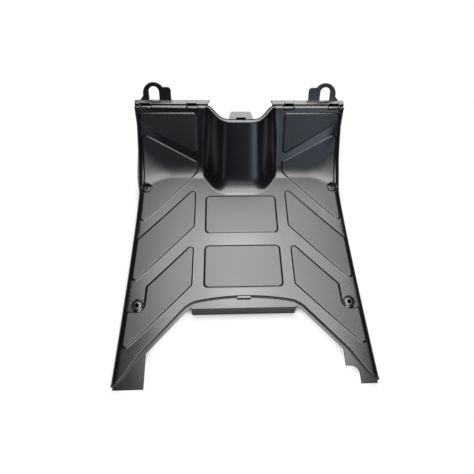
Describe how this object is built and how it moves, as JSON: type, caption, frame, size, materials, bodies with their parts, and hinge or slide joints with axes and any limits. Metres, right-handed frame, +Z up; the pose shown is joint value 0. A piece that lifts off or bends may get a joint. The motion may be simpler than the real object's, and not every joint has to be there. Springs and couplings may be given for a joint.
{
  "type": "scooter floorboard",
  "caption": "One-piece moulded floorboard for a motor scooter: flat foot floor with raised pads, sloping front wall with a bulge for the steering tube, skirts, and a rear arch.",
  "frame": {"origin": "centre of the footprint, at the lower edge of the side skirts", "axes": "+Y forward to the front wall and the hooks, +Z up, +X to the right hand seen from above with the wall at the top"},
  "size_m": [0.41, 0.4855, 0.1639],
  "materials": {
    "black_plastic": "satin, fine moulded grain"
  },
  "bodies": {
    "root": {"floorboard": "black_plastic"}
  },
  "joints": []
}
